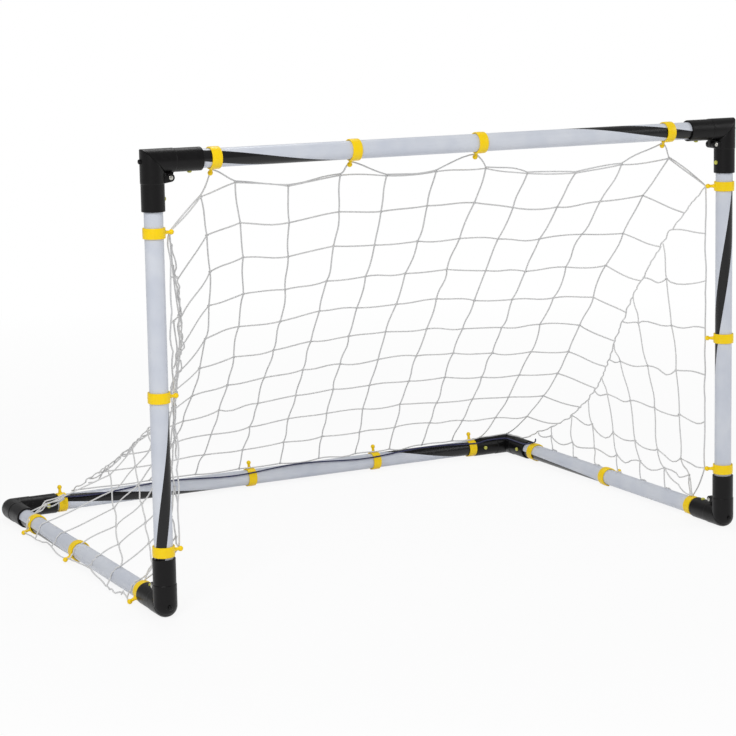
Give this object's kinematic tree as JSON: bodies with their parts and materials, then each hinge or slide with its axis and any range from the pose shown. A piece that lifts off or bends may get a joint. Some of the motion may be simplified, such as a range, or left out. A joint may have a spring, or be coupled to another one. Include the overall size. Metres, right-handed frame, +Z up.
{
  "type": "folding soccer goal",
  "caption": "Folding soccer goal: a white tube frame with hinged plastic corners, clip-on net rings and a white net.",
  "frame": {"origin": "middle of the goal's footprint on the ground", "axes": "+X along the crossbar, -Y out of the goal mouth, +Z up"},
  "size_m": [1.2258, 0.84, 0.7885],
  "materials": {
    "painted_tube": "satin white paint with a spiral black stripe",
    "corner_plastic": "black moulded plastic, fine satin",
    "latch_plastic": "black moulded plastic, fine satin",
    "ring_plastic": "yellow moulded plastic, satin",
    "button_plastic": "yellow-green moulded plastic, satin",
    "pin_steel": "zinc plated",
    "net_twine": "knotted white twine",
    "navy_cord": "braided navy cord"
  },
  "bodies": {
    "base": {"rear_bar": "painted_tube", "left_side_tube": "painted_tube", "bottom_left_side_socket": "corner_plastic", "rear_left_elbow": "corner_plastic", "hinge_pin_bottom_left": "pin_steel", "right_side_tube": "painted_tube", "bottom_right_side_socket": "corner_plastic", "rear_right_elbow": "corner_plastic", "hinge_pin_bottom_right": "pin_steel", "net_ring_left_side_1": "ring_plastic", "net_ring_left_side_2": "ring_plastic", "net_ring_left_side_3": "ring_plastic", "net_ring_right_side_1": "ring_plastic", "net_ring_right_side_2": "ring_plastic", "net_ring_right_side_3": "ring_plastic", "net_ring_rear_bar_1": "ring_plastic", "net_ring_rear_bar_2": "ring_plastic", "net_ring_rear_bar_3": "ring_plastic", "net_ring_rear_bar_4": "ring_plastic", "net": "net_twine", "lacing_cord": "navy_cord"},
    "front_frame": {"crossbar": "painted_tube", "left_post": "painted_tube", "top_left_post_socket": "corner_plastic", "top_left_bar_socket": "corner_plastic", "bottom_left_post_socket": "corner_plastic", "hinge_pin_top_left": "pin_steel", "right_post": "painted_tube", "top_right_post_socket": "corner_plastic", "top_right_bar_socket": "corner_plastic", "bottom_right_post_socket": "corner_plastic", "hinge_pin_top_right": "pin_steel", "net_ring_crossbar_1": "ring_plastic", "net_ring_crossbar_2": "ring_plastic", "net_ring_crossbar_3": "ring_plastic", "net_ring_crossbar_4": "ring_plastic", "net_ring_left_post_1": "ring_plastic", "net_ring_left_post_2": "ring_plastic", "net_ring_left_post_3": "ring_plastic", "net_ring_right_post_1": "ring_plastic", "net_ring_right_post_2": "ring_plastic", "net_ring_right_post_3": "ring_plastic"},
    "latch_button_top_left": {"latch_button_top_left": "latch_plastic"},
    "latch_button_bottom_left": {"latch_button_bottom_left": "latch_plastic"},
    "snap_button_crossbar_left": {"snap_button_crossbar_left": "button_plastic"},
    "snap_button_left_post_top": {"snap_button_left_post_top": "button_plastic"},
    "snap_button_left_post_bottom": {"snap_button_left_post_bottom": "button_plastic"},
    "snap_button_left_side_front": {"snap_button_left_side_front": "button_plastic"},
    "snap_button_left_side_rear": {"snap_button_left_side_rear": "button_plastic"},
    "snap_button_rear_bar_left": {"snap_button_rear_bar_left": "button_plastic"},
    "latch_button_top_right": {"latch_button_top_right": "latch_plastic"},
    "latch_button_bottom_right": {"latch_button_bottom_right": "latch_plastic"},
    "snap_button_crossbar_right": {"snap_button_crossbar_right": "button_plastic"},
    "snap_button_right_post_top": {"snap_button_right_post_top": "button_plastic"},
    "snap_button_right_post_bottom": {"snap_button_right_post_bottom": "button_plastic"},
    "snap_button_right_side_front": {"snap_button_right_side_front": "button_plastic"},
    "snap_button_right_side_rear": {"snap_button_right_side_rear": "button_plastic"},
    "snap_button_rear_bar_right": {"snap_button_rear_bar_right": "button_plastic"}
  },
  "joints": [
    {"name": "fold", "type": "hinge", "parent": "base", "child": "front_frame", "pos_m": [0, -0.3675, 0.048], "axis": [-1, 0, 0], "range_deg": [0, 90], "deforming": ["net"]},
    {"name": "press_latch_button_top_left", "type": "slide", "parent": "front_frame", "child": "latch_button_top_left", "axis": [1, 0, 0], "range_m": [0, 0.0025], "stiffness_N_per_m": 400, "springref_m": -0.002},
    {"name": "press_latch_button_bottom_left", "type": "slide", "parent": "front_frame", "child": "latch_button_bottom_left", "axis": [0, 1, 0], "range_m": [0, 0.0025], "stiffness_N_per_m": 400, "springref_m": -0.002},
    {"name": "press_snap_button_crossbar_left", "type": "slide", "parent": "front_frame", "child": "snap_button_crossbar_left", "axis": [0, 0, 1], "range_m": [0, 0.003], "stiffness_N_per_m": 400, "springref_m": -0.002},
    {"name": "press_snap_button_left_post_top", "type": "slide", "parent": "front_frame", "child": "snap_button_left_post_top", "axis": [-1, 0, 0], "range_m": [0, 0.003], "stiffness_N_per_m": 400, "springref_m": -0.002},
    {"name": "press_snap_button_left_post_bottom", "type": "slide", "parent": "front_frame", "child": "snap_button_left_post_bottom", "axis": [0, -1, 0], "range_m": [0, 0.003], "stiffness_N_per_m": 400, "springref_m": -0.002},
    {"name": "press_snap_button_left_side_front", "type": "slide", "parent": "base", "child": "snap_button_left_side_front", "axis": [0, 0, -1], "range_m": [0, 0.003], "stiffness_N_per_m": 400, "springref_m": -0.002},
    {"name": "press_snap_button_left_side_rear", "type": "slide", "parent": "base", "child": "snap_button_left_side_rear", "axis": [-1, 0, 0], "range_m": [0, 0.003], "stiffness_N_per_m": 400, "springref_m": -0.002},
    {"name": "press_snap_button_rear_bar_left", "type": "slide", "parent": "base", "child": "snap_button_rear_bar_left", "axis": [0, 1, 0], "range_m": [0, 0.003], "stiffness_N_per_m": 400, "springref_m": -0.002},
    {"name": "press_latch_button_top_right", "type": "slide", "parent": "front_frame", "child": "latch_button_top_right", "axis": [-1, 0, 0], "range_m": [0, 0.0025], "stiffness_N_per_m": 400, "springref_m": -0.002},
    {"name": "press_latch_button_bottom_right", "type": "slide", "parent": "front_frame", "child": "latch_button_bottom_right", "axis": [0, 1, 0], "range_m": [0, 0.0025], "stiffness_N_per_m": 400, "springref_m": -0.002},
    {"name": "press_snap_button_crossbar_right", "type": "slide", "parent": "front_frame", "child": "snap_button_crossbar_right", "axis": [0, 0, 1], "range_m": [0, 0.003], "stiffness_N_per_m": 400, "springref_m": -0.002},
    {"name": "press_snap_button_right_post_top", "type": "slide", "parent": "front_frame", "child": "snap_button_right_post_top", "axis": [1, 0, 0], "range_m": [0, 0.003], "stiffness_N_per_m": 400, "springref_m": -0.002},
    {"name": "press_snap_button_right_post_bottom", "type": "slide", "parent": "front_frame", "child": "snap_button_right_post_bottom", "axis": [0, -1, 0], "range_m": [0, 0.003], "stiffness_N_per_m": 400, "springref_m": -0.002},
    {"name": "press_snap_button_right_side_front", "type": "slide", "parent": "base", "child": "snap_button_right_side_front", "axis": [0, 0, -1], "range_m": [0, 0.003], "stiffness_N_per_m": 400, "springref_m": -0.002},
    {"name": "press_snap_button_right_side_rear", "type": "slide", "parent": "base", "child": "snap_button_right_side_rear", "axis": [1, 0, 0], "range_m": [0, 0.003], "stiffness_N_per_m": 400, "springref_m": -0.002},
    {"name": "press_snap_button_rear_bar_right", "type": "slide", "parent": "base", "child": "snap_button_rear_bar_right", "axis": [0, 1, 0], "range_m": [0, 0.003], "stiffness_N_per_m": 400, "springref_m": -0.002}
  ]
}
